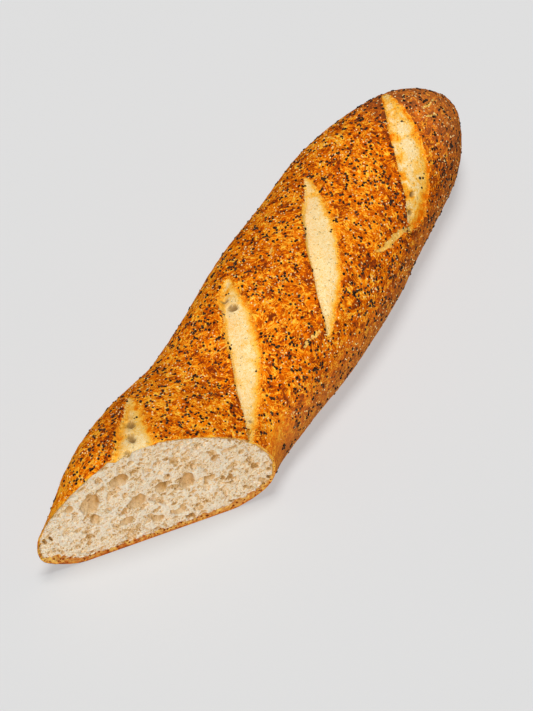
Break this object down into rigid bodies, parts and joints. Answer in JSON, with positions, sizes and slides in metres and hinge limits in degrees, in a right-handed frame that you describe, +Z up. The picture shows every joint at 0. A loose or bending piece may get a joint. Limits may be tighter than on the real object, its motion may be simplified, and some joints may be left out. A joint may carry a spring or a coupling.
{
  "type": "baguette",
  "caption": "Thick seeded baguette with slanted scores in its top, one end rounded and the other cut off on the slant to show the crumb.",
  "frame": {"origin": "under the middle of the loaf, on the surface that it rests on", "axes": "+X along the loaf from the cut end to the whole end, +Y to the left of that, +Z up"},
  "size_m": [0.3406, 0.087, 0.0707],
  "materials": {
    "crust": "matte, baked",
    "crumb": "matte, porous",
    "poppy_seed": "matte",
    "pale_seed": "matte"
  },
  "bodies": {
    "root": {"baguette": "crust"}
  },
  "joints": []
}
